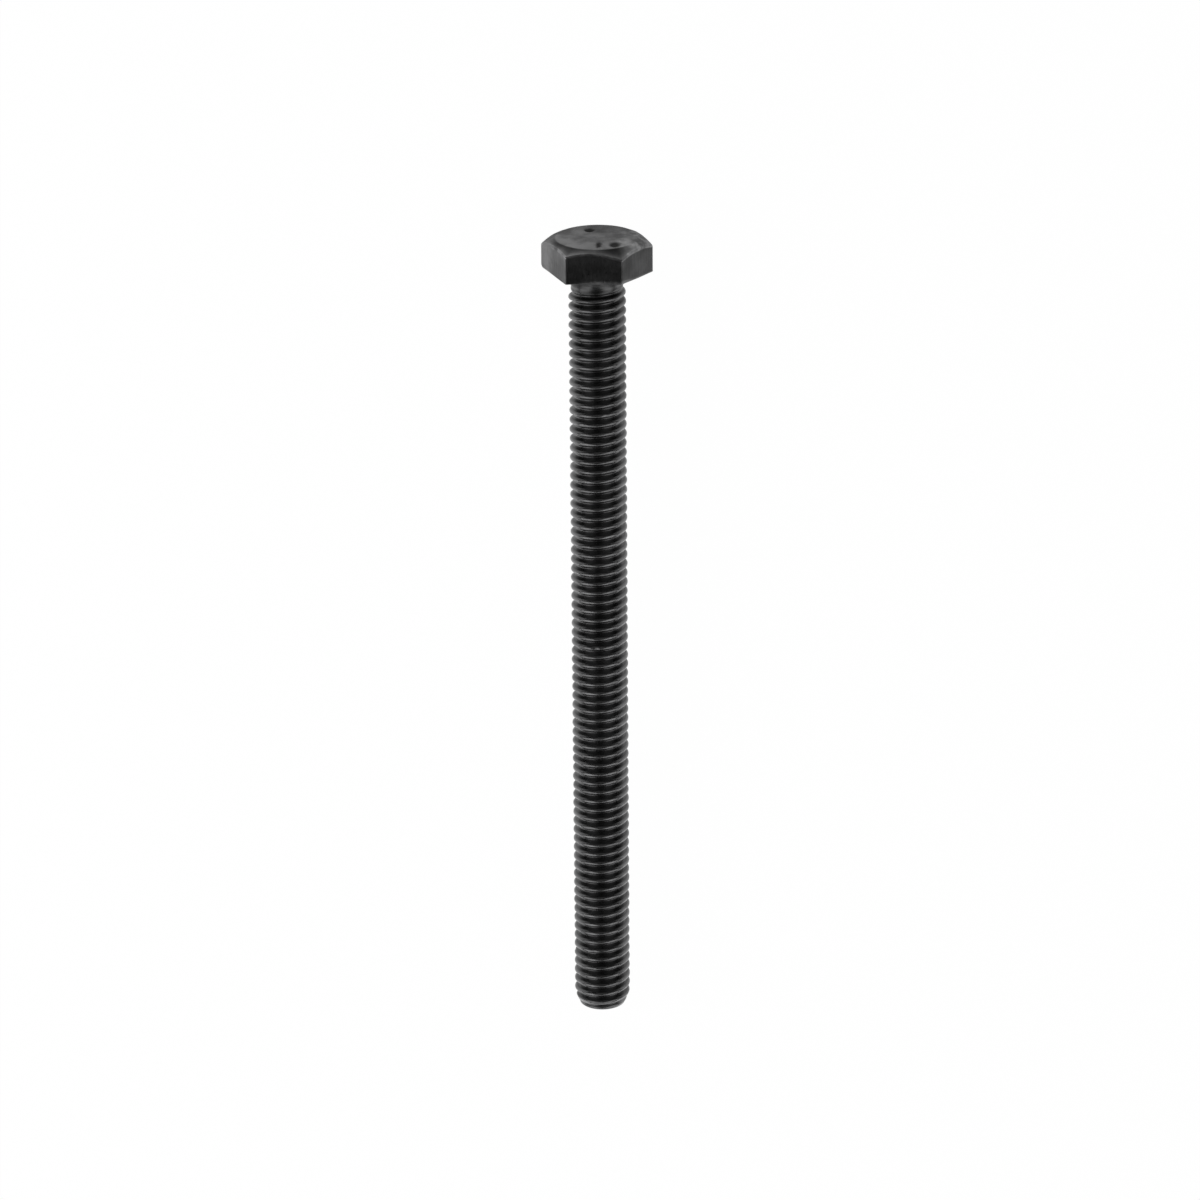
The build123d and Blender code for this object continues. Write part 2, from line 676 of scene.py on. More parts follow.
        across, upward = radii * np.sin(angle), radii * np.cos(angle)
        pole = skin.add(pose.place(-self.height + self.crown_sink, 0.0, 0.0), self.crown_exposure)
        previous: np.ndarray | None = None
        for row, ring in enumerate(rings):
            exposure, darkening = self.wear(ring, across[row], upward[row], on_crown[row], pressed[row])
            current = skin.add(pose.place(stations[row], radii[row], angle), exposure, darkening)
            if previous is None:
                skin.close(current, pole[0], ring.zone, last=False)
            else:
                skin.bridge(previous, current, ring.zone)
            previous = current
        return previous, angle


@dataclass
class RolledThread:
    """The shank: neck, run-in, a right-hand rolled thread, and the chamfered point."""

    pitch: float = 1.0
    crest_radius: float = 2.90
    wire_radius: float = 2.6152
    # Stations of the bearing face, of the thread's first row, of a crest on the upper line, and of
    # the end
    bearing: float = 0.2
    start: float = 1.2
    crest_offset: float = 2.515
    end: float = 80.533
    # How much wider than the wire the neck starts, and how far outside that it meets the washer face
    neck_rise: float = 0.85
    bearing_step: float = 0.1
    # The run-in: how far it slants to each side, and where the crests and the roots start and are full
    run_in_slant: float = 0.175
    crest_rise: Span = (1.5, 2.6)
    root_sink: Span = (1.7, 2.4)
    # The point's taper, the room between it and the crests, and the rounding where they meet
    point_drop: float = 0.62
    point_length: float = 1.6
    point_power: float = 1.3
    point_room: float = 0.02
    point_blend: float = 0.02
    point_cup: float = 0.12
    # The rounded rim of the end face: steps back from it and inwards, then shares of the cup's radius
    rim_steps: tuple[tuple[float, float], ...] = ((0.045, 0.045), (0.018, 0.085), (0.0, 0.14))
    cup_shares: tuple[float, ...] = (0.93, 0.75, 0.55, 0.35, 0.15)

    # The mesh: its columns, its level rows round the neck, and how soon its rows follow the helix
    columns_per_turn: int = 72
    neck_rings: int = 11
    level_length: float = 0.5
    # Places of the rows within one pitch, from the middle of a crest
    row_places: tuple[float, ...] = (
        0.0, 0.07, 0.14, 0.26, 0.39, 0.445, 0.5, 0.555, 0.61, 0.74, 0.86, 0.93,
    )
    # Drop of the surface below the crest at the first seven of those places, in pitches
    row_drops: tuple[float, ...] = (0.0, 0.006, 0.055, 0.265, 0.49, 0.575, 0.61)

    # The crests' waves along the helix, as heights and rates, how low the crests lie on the whole, and
    # how far over the wire's radius all that begins
    crest_waves: tuple[tuple[float, float], ...] = (
        (0.008, 0.71), (0.006, 2.3), (0.005, 9.1), (0.004, 23.0),
    )
    crest_sink: float = 0.012
    crest_band: float = 0.05
    # The nicks: their number, the ranges of their turns, half widths in degrees and depths, and their
    # half length along the screw
    seed: int = 5
    nick_count: int = 46
    nick_turns: tuple[int, int] = (2, 76)
    nick_degrees: Span = (2.0, 7.0)
    nick_depths: Span = (0.03, 0.10)
    nick_length: float = 0.16

    # The rubbed band along each crest and the darker band on each flank below it, in pitches: how far
    # they lean off the crest, and the half widths between which they fade out. The rubbed band is wear,
    # and its lean towards the point paints that side's highlight
    rub_lean: float = 0.10
    rub_half_widths: Span = (0.09, 0.27)
    dark_lean: float = -0.29
    dark_half_widths: Span = (0.04, 0.22)
    # The crests aren't rubbed beside the head, and are fully rubbed from the second station on
    rub_growth: Span = (2.0, 20.0)
    # How much darker the first grooves are painted, with the painted shade of the head, and the others,
    # and the stations between which it changes
    first_groove_shade: float = 0.86
    groove_darkness: float = 0.70
    groove_change: Span = (2.8, 4.6)
    # Distances from the end between which the grooves' darkening fades out
    end_fade: Span = (-1.1, -0.3)
    # Painted shade: the grooves are darker still round this angle on both sides of the upper line
    groove_side_shade: float = 0.24
    side_angle: float = math.radians(45)
    side_spread: float = math.radians(13)
    # Painted shade on the neck, where the head shades it: its depth, then its share at some stations
    # along its upper side and on its flanks, and the sines of half the angle between which the one gives
    # way to the other
    neck_shade_depth: float = 0.90
    shade_stops: tuple[float, ...] = (0.2, 0.5, 0.9, 1.2, 1.4, 1.55, 1.7, 1.9, 2.1)
    upper_shades: tuple[float, ...] = (0.7, 0.6, 0.1, 0.15, 0.4, 0.7, 0.8, 0.8, 0.0)
    flank_shades: tuple[float, ...] = (0.9, 0.9, 0.9, 0.7, 0.2, 0.5, 0.6, 0.2, 0.0)
    flank_sines: Span = (0.05, 0.34)
    neck_exposure: float = 0.1
    rim_exposure: float = 0.7
    cup_exposure: float = 0.3

    def angles(self) -> np.ndarray:
        """Angles of the shank's columns."""
        return np.arange(self.columns_per_turn) * FULL_TURN / self.columns_per_turn

    def helix(self, station: np.ndarray, angle: np.ndarray) -> np.ndarray:
        """Turns of the thread up to each place, a whole number on the middle of a crest."""
        return (station - self.crest_offset) / self.pitch + angle / FULL_TURN

    def form(self, off_crest: np.ndarray) -> np.ndarray:
        """Radius of the full thread.

        Args:
            off_crest: Distance from the middle of a crest, in pitches.

        Returns:
            The radius at each distance.
        """
        off = np.abs((off_crest + 0.5) % 1.0 - 0.5)
        stops = self.row_places[: len(self.row_drops)]
        return self.crest_radius - self.pitch * np.interp(off, stops, self.row_drops)

    def slanted(self, station: np.ndarray, angle: np.ndarray) -> np.ndarray:
        """Slants stations across the shank, so that the run-in follows the thread."""
        return station + self.run_in_slant * self.pitch * np.sin(angle)

    def unevenness(self, station: np.ndarray, angle: np.ndarray) -> np.ndarray:
        """How far the crests stand off their nominal height, with their waves and nicks.

        Args:
            station: Distance from the hexagon's underside.
            angle: Angle from the upward direction.

        Returns:
            What the radius gains on a full crest, below zero where it loses.
        """
        draw = np.random.default_rng(self.seed)
        helix = self.helix(station, angle)
        gain = sum(
            height * np.sin(helix * rate + draw.uniform(0, FULL_TURN))
            for height, rate in self.crest_waves
        )
        gain = gain - self.crest_sink
        for _ in range(self.nick_count):
            turn_number = draw.integers(*self.nick_turns)
            at_angle = draw.uniform(-math.pi, math.pi)
            spread = math.radians(draw.uniform(*self.nick_degrees))
            depth = draw.uniform(*self.nick_depths)
            at_station = self.crest_offset + (turn_number - at_angle / FULL_TURN) * self.pitch
            away = (angle - at_angle + math.pi) % FULL_TURN - math.pi
            along = (station - at_station + away / FULL_TURN * self.pitch) / self.nick_length
            gain = gain - depth * np.exp(-((away / spread) ** 2) - along**2)
        return gain

    def radius(self, station: np.ndarray, angle: np.ndarray) -> np.ndarray:
        """Radius of the shank with its run-in, point, and small unevenness.

        Args:
            station: Distance from the hexagon's underside.
            angle: Angle from the upward direction.

        Returns:
            The radius at each place.
        """
        slanted = self.slanted(station, angle)
        crest_share = smooth_step(slanted, *self.crest_rise)
        root_share = smooth_step(slanted, *self.root_sink)
        rise = self.form(self.helix(station, angle)) - self.wire_radius
        made = self.wire_radius + rise * np.where(rise > 0, crest_share, root_share)
        near_crest = smooth_step(made, self.wire_radius + self.crest_band, self.crest_radius)
        made = made + near_crest * self.unevenness(station, angle)

        # The point cuts the crests off, with a small rounding between the two
        into_point = np.maximum(station - self.end + self.point_length, 0.0) / self.point_length
        cap = self.crest_radius + self.point_room - self.point_drop * into_point**self.point_power
        return -self.point_blend * np.logaddexp(-made / self.point_blend, -cap / self.point_blend)

    def wear(self, station: np.ndarray, angle: np.ndarray) -> tuple[np.ndarray, np.ndarray]:
        """Where the thread is rubbed and how much darker it is painted, with painted shade in places.

        Args:
            station: Distance from the hexagon's underside.
            angle: Angle from the upward direction.

        Returns:
            The exposure and the darkening at each place.
        """
        slanted = self.slanted(station, angle)
        place = (self.helix(station, angle) + 0.5) % 1.0 - 0.5
        exposure = 1 - smooth_step(np.abs(place - self.rub_lean), *self.rub_half_widths)
        exposure = exposure * smooth_step(slanted, *self.crest_rise)
        exposure = exposure * smooth_step(station, *self.rub_growth)

        # Darker bands on the flanks, with painted shade on the first grooves by the head and round both
        # sides of the upper line
        off_flank = np.abs((place - self.dark_lean + 0.5) % 1.0 - 0.5)
        settled = smooth_step(station, *self.groove_change)
        darkness = self.first_groove_shade * (1 - settled) + self.groove_darkness * settled
        aside = np.abs((angle + math.pi) % FULL_TURN - math.pi)
        off_side = (aside - self.side_angle) / self.side_spread
        darkness = darkness + self.groove_side_shade * np.exp(-(off_side**2))
        darkening = darkness * (1 - smooth_step(off_flank, *self.dark_half_widths))
        darkening = darkening * smooth_step(slanted, *self.root_sink)
        darkening = darkening * (1 - smooth_step(station - self.end, *self.end_fade))
        return exposure, np.maximum(np.minimum(darkening, 1.0), self.neck_shade(station, angle))

    def neck_shade(self, station: np.ndarray, angle: np.ndarray) -> np.ndarray:
        """Painted shade on the neck, along its upper side and round to its flanks.

        Args:
            station: Distance from the hexagon's underside.
            angle: Angle from the upward direction.

        Returns:
            The recess at each place, 0 where the thread has begun.
        """
        # Painted shade on the neck, where the head shades it
        slanted = self.slanted(station, angle)
        upper = np.interp(slanted, self.shade_stops, self.upper_shades)
        flank = np.interp(slanted, self.shade_stops, self.flank_shades)
        aside = smooth_step(np.abs(np.sin(angle / 2)), *self.flank_sines)
        return self.neck_shade_depth * (upper + (flank - upper) * aside)

    def build(self, skin: Skin, pose: RestPose, ring: np.ndarray, ring_angles: np.ndarray) -> None:
        """Adds the shank to the skin, from the washer face to the point.

        Args:
            skin: The mesh that the head started.
            pose: Where the screw lies.
            ring: Numbers of the head's last ring.
            ring_angles: That ring's angles.
        """
        angle = self.angles()
        outer = self.wire_radius + self.neck_rise
        levels = [(self.bearing, outer + self.bearing_step)]
        for turn in np.linspace(0.0, math.pi / 2, self.neck_rings, endpoint=False):
            station = self.bearing + (self.start - self.bearing) * (1 - math.cos(turn))
            levels.append((station, outer - self.neck_rise * math.sin(turn)))
        previous: np.ndarray | None = None
        for station, radius in levels:
            shade = self.neck_shade(np.full_like(angle, station), angle)
            current = skin.add(pose.place(station, radius, angle), self.neck_exposure, shade)
            if previous is None:
                skin.stitch(ring, ring_angles, current, angle, Zone.FORGED)
            else:
                skin.bridge(previous, current, Zone.FORGED)
            previous = current
        first, last = self.build_helix(skin, pose, angle)
        skin.bridge(previous, first, Zone.ROLLED)
        self.build_point(skin, pose, last, angle)

    def build_helix(self, skin: Skin, pose: RestPose,
                    angle: np.ndarray) -> tuple[np.ndarray, np.ndarray]:
        """Adds the threaded length. Its rows follow the helix and end on two level rings.

        Args:
            skin: The mesh that it joins.
            pose: Where the screw lies.
            angle: The columns' angles.

        Returns:
            The numbers of the first ring's points and of the last ring's.
        """
        # A row follows the helix: every so many columns it moves one step along the shank
        per_pitch = len(self.row_places)
        step = self.pitch / per_pitch
        per_step = self.columns_per_turn // per_pitch
        steps = round((self.end - self.start) / step) - 1
        finish = self.start + steps * step
        last_row = steps + per_pitch
        slight = 1e-9

        # Each row is moved from its even place to its own place on the thread's form
        rows = np.arange(0, last_row + 1)
        counted = rows + round((self.start - self.crest_offset) / step)
        wanted = counted // per_pitch + np.array(self.row_places)[counted % per_pitch]
        even = (self.start - self.crest_offset) / self.pitch + rows / per_pitch
        shift = (wanted - even) * self.pitch

        table = np.full((self.columns_per_turn, len(rows)), -1)
        for column, turn in enumerate(angle):
            low, high = column / per_step, steps + column / per_step
            inside = rows[(rows > low + slight) & (rows < high - slight)]
            level = self.start + (inside - low) * step
            follows = smooth_step(level, self.start, self.start + self.level_length)
            follows = follows * (1 - smooth_step(level, finish - self.level_length, finish))
            level = np.concatenate(([self.start], level + follows * shift[inside], [finish]))
            exposure, darkening = self.wear(level, turn)
            numbers = skin.add(pose.place(level, self.radius(level, turn), turn), exposure, darkening)
            table[column, inside] = numbers[1:-1]
            table[column, rows <= low + slight] = numbers[0]
            table[column, rows >= high - slight] = numbers[-1]

        # Past the last column, each row goes on as the row one pitch further along in the first column
        for column in range(self.columns_per_turn):
            beside = (column + 1) % self.columns_per_turn
            back = per_pitch if beside == 0 else 0
            lowest = int(column / per_step + slight)
            highest = math.ceil(steps + (column + 1) / per_step - slight)
            for row in range(lowest, highest):
                here = table[column, min(row, last_row)], table[column, min(row + 1, last_row)]
                there = (table[beside, max(row - back, 0)],
                         table[beside, max(min(row + 1, last_row) - back, 0)])
                skin.face((here[0], here[1], there[1], there[0]), Zone.ROLLED)
        return table[:, 0], table[:, -1]

    def build_point(self, skin: Skin, pose: RestPose, last: np.ndarray, angle: np.ndarray) -> None:
        """Adds the rounded rim and the slightly cupped end face.

        Args:
            skin: The mesh that it closes.
            pose: Where the screw lies.
            last: Numbers of the thread's last ring.
            angle: The columns' angles.
        """
        finish = self.end - self.pitch / len(self.row_places)
        rim = self.radius(np.full_like(angle, finish), angle)
        inner = rim - self.rim_steps[-1][1]
        rings = [(self.end - back, rim - inward, self.rim_exposure) for back, inward in self.rim_steps]
        for share in self.cup_shares:
            station = self.end - self.point_cup * (1 - share**2)
            rings.append((station, inner * share, self.cup_exposure))
        previous = last
        for station, radius, exposure in rings:
            current = skin.add(pose.place(station, radius, angle), exposure)
            skin.bridge(previous, current, Zone.ROLLED)
            previous = current
        centre = skin.add(pose.place(self.end - self.point_cup, 0.0, 0.0), self.cup_exposure)
        skin.close(previous, centre[0], Zone.ROLLED, last=True)


class NodeTree:
    """Short calls for adding and linking shader nodes in one tree."""

    def __init__(self, tree: bpy.types.NodeTree) -> None:
        """Keeps the tree that nodes are added to."""
        self.tree = tree

    def add(self, kind: str, **settings: object) -> bpy.types.Node:
        """Adds a node and sets its properties.

        Args:
            kind: The node's type name.
            settings: Properties of the node by name.

        Returns:
            The new node.
        """
        node = self.tree.nodes.new(kind)
        for name, value in settings.items():
            setattr(node, name, value)
        return node

    def link(self, source: Socket, target: Socket) -> None:
        """Links an output to an input."""
        self.tree.links.new(source, target)

    def feed(self, value: object, target: Socket) -> None:
        """Gives an input its value.

        Args:
            value: A socket to link, or the value to set.
            target: The input.
        """
        if isinstance(value, Socket):
            self.link(value, target)
        else:
            target.default_value = value

    def noise(self, vector: Socket, scale: float | Socket,
              detail: float, roughness: float) -> Socket:
        """Adds a noise texture and returns its value.

        Args:
            vector: Coordinates that the texture reads.
            scale: Features for each metre, as a number or a socket.
            detail: Number of octaves.
            roughness: Strength of the finer octaves.

        Returns:
            The texture's value output.
        """
        node = self.add("ShaderNodeTexNoise")
        for label, value in (("Vector", vector), ("Detail", detail), ("Roughness", roughness),
                             ("Scale", scale)):
            self.feed(value, node.inputs[label])
        return node.outputs["Fac"]

    def calculate(self, operation: str, *values: float | Socket,
                  clamp: bool = False) -> Socket:
        """Adds a math node and returns its value.

        Args:
            operation: The node's operation.
            values: Its inputs, as numbers or sockets.
            clamp: True to keep the result between 0 and 1.

        Returns:
            The node's output.
        """
        node = self.add("ShaderNodeMath", operation=operation, use_clamp=clamp)
        for value, target in zip(values, node.inputs):
            self.feed(value, target)
        return node.outputs[0]

    def remap(self, value: Socket, low: float, high: float, to_low: float,
              to_high: float, smooth: bool = False) -> Socket:
        """Maps a range of values to another, clamped.

        Args:
            value: The value to map.
            low: Start of its range.
            high: End of its range.
            to_low: Result at the start.
            to_high: Result at the end.
            smooth: True to ease both ends.

        Returns:
            The mapped value.
        """
        node = self.add("ShaderNodeMapRange",
                        interpolation_type="SMOOTHSTEP" if smooth else "LINEAR")
        for label, given in (("Value", value), ("From Min", low), ("From Max", high),
                             ("To Min", to_low), ("To Max", to_high)):
            self.feed(given, node.inputs[label])
        return node.outputs["Result"]

    def mix(self, share: Socket, first: object,
            second: object) -> Socket:
        """Mixes two colours.

        Args:
            share: How much of the second colour shows.
            first: The first colour, as a socket or four numbers.
            second: The second colour, as a socket or four numbers.

        Returns:
            The mixed colour.
        """
        node = self.add("ShaderNodeMix", data_type="RGBA")
        self.link(share, node.inputs["Factor"])
        inputs = [socket for socket in node.inputs if socket.type == "RGBA"]
        for socket, colour in zip(inputs, (first, second)):
            self.feed(colour, socket)
        return next(socket for socket in node.outputs if socket.type == "RGBA")


class EffectGroup:
    """A node group of one surface effect, built once and placed in each finish."""

    def __init__(self, name: str, inputs: dict[str, tuple[str, object]],
                 outputs: dict[str, str]) -> None:
        """Makes the empty group.

        Args:
            name: The group's name.
            inputs: For each input its socket type and usual value.
            outputs: For each output its socket type.
        """
        self.group = bpy.data.node_groups.new(name, "ShaderNodeTree")
        for label, (kind, value) in inputs.items():
            socket = self.group.interface.new_socket(label, in_out="INPUT", socket_type=kind)
            if value is not None:
                socket.default_value = value
        for label, kind in outputs.items():
            self.group.interface.new_socket(label, in_out="OUTPUT", socket_type=kind)
        self.nodes = NodeTree(self.group)
        self.taken = self.nodes.add("NodeGroupInput").outputs
        self.given = self.nodes.add("NodeGroupOutput").inputs

    def place(self, material: NodeTree, **values: object) -> bpy.types.Node:
        """Places the group in a material.

        Args:
            material: The material's nodes.
            values: Inputs by name, spaces written as underscores, as sockets or numbers.

        Returns:
            The placed group node.
        """
        node = material.add("ShaderNodeGroup", node_tree=self.group)
        for label, value in values.items():
            material.feed(value, node.inputs[label.replace("_", " ")])
        return node


def rubbed_edges_group() -> EffectGroup:
    """Builds the mask of edges and crests where the oxide is rubbed thin.

    Returns:
        A group that turns exposure into an uneven mask.
    """
    effect = EffectGroup(
        "rubbed_edges",
        {"Vector": ("NodeSocketVector", None), "Exposure": ("NodeSocketFloat", 0.0),
         "Scale": ("NodeSocketFloat", 900.0), "Amount": ("NodeSocketFloat", 0.5)},
        {"Mask": "NodeSocketFloat"},
    )
    nodes, taken = effect.nodes, effect.taken
    patchy = nodes.noise(taken["Vector"], taken["Scale"], detail=4.0, roughness=0.6)
    patchy = nodes.remap(patchy, low=0.35, high=0.68, to_low=0.25, to_high=1.0)
    held = nodes.calculate("MULTIPLY", taken["Exposure"], patchy)
    sharp = nodes.remap(held, low=0.25, high=0.95, to_low=0.0, to_high=1.0, smooth=True)
    mask = nodes.calculate("MULTIPLY", sharp, taken["Amount"], clamp=True)
    nodes.link(mask, effect.given["Mask"])
    return effect


def oxide_grain_group() -> EffectGroup:
    """Builds the oxide layer's grain: fine pits, wider cloudiness and the height of both.

    Returns:
        A group with a grain mask, a cloud mask and a height.
    """
    effect = EffectGroup(
        "oxide_grain",
        {"Vector": ("NodeSocketVector", None), "Grain Scale": ("NodeSocketFloat", 5000.0),
         "Cloud Scale": ("NodeSocketFloat", 420.0)},
        {"Grain": "NodeSocketFloat", "Cloud": "NodeSocketFloat", "Height": "NodeSocketFloat"},
    )
    nodes, taken, given = effect.nodes, effect.taken, effect.given
    grain = nodes.noise(taken["Vector"], taken["Grain Scale"], detail=5.0, roughness=0.65)
    cloud = nodes.noise(taken["Vector"], taken["Cloud Scale"], detail=3.0, roughness=0.5)
    nodes.link(nodes.remap(grain, low=0.3, high=0.7, to_low=0.0, to_high=1.0), given["Grain"])
    clouded = nodes.remap(cloud, low=0.32, high=0.68, to_low=0.0, to_high=1.0, smooth=True)
    nodes.link(clouded, given["Cloud"])
    grain_height, cloud_height = 0.6, 0.9
    height = nodes.calculate("ADD", nodes.calculate("MULTIPLY", grain, grain_height),
                             nodes.calculate("MULTIPLY", cloud, cloud_height))
    nodes.link(height, given["Height"])
    return effect


def drag_lines_group() -> EffectGroup:
    """Builds the fine lines that a trimming die or a rolling die drags along the metal.

    Returns:
        A group that puts out the lines' height.
    """
    effect = EffectGroup(
        "drag_lines",
        {"Vector": ("NodeSocketVector", None), "Stretch": ("NodeSocketVector", (1.0, 1.0, 1.0)),
         "Scale": ("NodeSocketFloat", 4000.0)},
        {"Lines": "NodeSocketFloat"},
    )
    nodes, taken = effect.nodes, effect.taken
    scaled = nodes.add("ShaderNodeVectorMath", operation="MULTIPLY")
    nodes.link(taken["Vector"], scaled.inputs[0])
    nodes.link(taken["Stretch"], scaled.inputs[1])
    lines = nodes.noise(scaled.outputs["Vector"], taken["Scale"], detail=3.0, roughness=0.6)
    height = nodes.remap(lines, low=0.3, high=0.7, to_low=0.0, to_high=1.0)
    nodes.link(height, effect.given["Lines"])
    return effect


def grey(level: float, blue: float = 1.0) -> Colour:
    """Gives an opaque grey, with its blue share raised or lowered."""
    return level, level, level * blue, 1.0


@dataclass(frozen=True)
class OxideFinish:
    """Black oxide on steel, as it looks on one zone of the screw."""

    name: str
    # Greys of the oxide, of its clouds and of rubbed metal, and how far the rubbing goes
    oxide: float
    cloudy: float
    rubbed: float
    rubbed_amount: float
    # Grey of the reflection at a grazing angle
    specular_tint: float
    # Shares of the oxide's grey and of the grazing one that are left where the surface is darkened fully,
    # painted shade in places
    darkening: float
    darkening_grazing: float
    roughness: float
    roughness_spread: float
    # Heights of the grain and of the drag lines, and how the lines' pattern is squeezed
    grain_bump: float
    line_bump: float
    line_stretch: tuple[float, float, float]
    blue_cast: float = 1.01
    rubbed_polish: float = 0.08
    bump_strength: float = 0.6
    bump_distance: float = 0.00002

    def build(self, edges: EffectGroup, grain: EffectGroup,
              lines: EffectGroup) -> bpy.types.Material:
        """Makes the material.

        Args:
            edges: The rubbed edges' group.
            grain: The oxide grain's group.
            lines: The drag lines' group.

        Returns:
            The finished material.
        """
        material = bpy.data.materials.new(self.name)
        material.use_nodes = True
        nodes = NodeTree(material.node_tree)
        inputs = material.node_tree.nodes["Principled BSDF"].inputs
        inputs["Metallic"].default_value = 1.0

        place = nodes.add("ShaderNodeTexCoord").outputs["Object"]
        exposed = nodes.add("ShaderNodeAttribute", attribute_name="exposure").outputs["Fac"]
        speckle = grain.place(nodes, Vector=place).outputs
        drawn = lines.place(nodes, Vector=place, Stretch=self.line_stretch).outputs
        worn = edges.place(nodes, Vector=place, Exposure=exposed, Amount=self.rubbed_amount)
        worn = worn.outputs["Mask"]

        # Colour: clouded oxide, darker where the mesh's darkening says, painted shade in places, and
        # brighter where it is rubbed
        sunk = nodes.add("ShaderNodeAttribute", attribute_name="darkening").outputs["Fac"]
        dark, clouded = grey(self.oxide, self.blue_cast), grey(self.cloudy, self.blue_cast)
        ground = nodes.mix(speckle["Cloud"], dark, clouded)
        ground = nodes.mix(sunk, ground, grey(self.oxide * self.darkening))
        bare = grey(self.rubbed, self.blue_cast)
        nodes.link(nodes.mix(worn, ground, bare), inputs["Base Color"])
        # The grazing reflection is darkened there too, as painted shade in places
        grazing = nodes.mix(sunk, grey(self.specular_tint),
                            grey(self.specular_tint * self.darkening_grazing))
        nodes.link(grazing, inputs["Specular Tint"])

        dull = nodes.remap(speckle["Grain"], low=0.0, high=1.0,
                           to_low=self.roughness - self.roughness_spread,
                           to_high=self.roughness + self.roughness_spread)
        polish = nodes.calculate("MULTIPLY", worn, self.rubbed_polish)
        nodes.link(nodes.calculate("SUBTRACT", dull, polish), inputs["Roughness"])

        height = nodes.calculate("ADD",
                                 nodes.calculate("MULTIPLY", speckle["Height"], self.grain_bump),
                                 nodes.calculate("MULTIPLY", drawn["Lines"], self.line_bump))
        bump = nodes.add("ShaderNodeBump")
        bump.inputs["Strength"].default_value = self.bump_strength
        bump.inputs["Distance"].default_value = self.bump_distance
        nodes.link(height, bump.inputs["Height"])
        nodes.link(bump.outputs["Normal"], inputs["Normal"])
        return material


ZONE_FINISHES = {
    Zone.FORGED: OxideFinish(
        name="black_oxide_forged",
        oxide=0.10, cloudy=0.26, rubbed=0.40, rubbed_amount=0.7,
        specular_tint=0.6, darkening=0.3, darkening_grazing=0.75,
        roughness=0.40, roughness_spread=0.06,
        grain_bump=1.0, line_bump=0.2, line_stretch=(1.0, 1.0, 1.0),
    ),
    Zone.TRIMMED: OxideFinish(
        name="black_oxide_trimmed",
        oxide=0.115, cloudy=0.22, rubbed=0.40, rubbed_amount=0.8,
        specular_tint=0.75, darkening=0.3, darkening_grazing=0.9,
        roughness=0.32, roughness_spread=0.05,
        grain_bump=0.6, line_bump=0.9, line_stretch=(0.15, 1.0, 1.0),
    ),
    Zone.ROLLED: OxideFinish(
        name="black_oxide_rolled",
        oxide=0.165, cloudy=0.225, rubbed=0.29, rubbed_amount=0.9,
        specular_tint=1.0, darkening=0.1, darkening_grazing=0.6,
        roughness=0.31, roughness_spread=0.06,
        grain_bump=0.7, line_bump=0.5, line_stretch=(1.0, 0.2, 0.2),
    ),
}


@dataclass
class AdjustingBolt:
    """The whole screw: its place, its head, its shank and its finishes."""

    pose: RestPose = RestPose()
    head: HexHead = field(default_factory=HexHead)
    shank: RolledThread = field(default_factory=RolledThread)

    def dress(self, piece: bpy.types.Object) -> None:
        """Gives the piece its materials, in the order of the zones, and even shading.

        Args:
            piece: The screw's mesh object.
        """
        groups = rubbed_edges_group(), oxide_grain_group(), drag_lines_group()
        for zone in Zone:
            piece.data.materials.append(ZONE_FINISHES[zone].build(*groups))
        piece.modifiers.new("even_shading", "WEIGHTED_NORMAL")

    def build(self) -> bpy.types.Object:
        """Builds and dresses the screw, and puts it in the place of its CAD node.

        Returns:
            The finished piece.
        """
        skin = Skin()
        ring, angles = self.head.build(skin, self.pose)
        self.shank.build(skin, self.pose, ring, angles)
        piece = skin.to_object("bolt_skin")
        self.dress(piece)
        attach(piece, "root")
        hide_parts(NODE)
        return piece


@dataclass(frozen=True)
class Lamp:
    """A soft rectangular lamp that looks at the middle of the screw."""

    name: str
    place: tuple[float, float, float]
    width: float
    height: float
    # Light from each square metre, and whether the screw mirrors the lamp
    radiance: float
    mirrored: bool = True

    def build(self, target: Vector) -> bpy.types.Object:
        """Adds the lamp, looking at the target.

        Args:
            target: The point that it looks at, in metres.

        Returns:
            The lamp's object.
        """
        data = bpy.data.lights.new(self.name, "AREA")
        data.shape = "RECTANGLE"
        data.size, data.size_y = self.width, self.height
        data.energy = self.radiance * math.pi * self.width * self.height
        lamp = add_object(self.name, data)
        lamp.location = self.place
        lamp.rotation_euler = (target - lamp.location).to_track_quat("-Z", "Y").to_euler()
        lamp.visible_glossy = self.mirrored
        return lamp


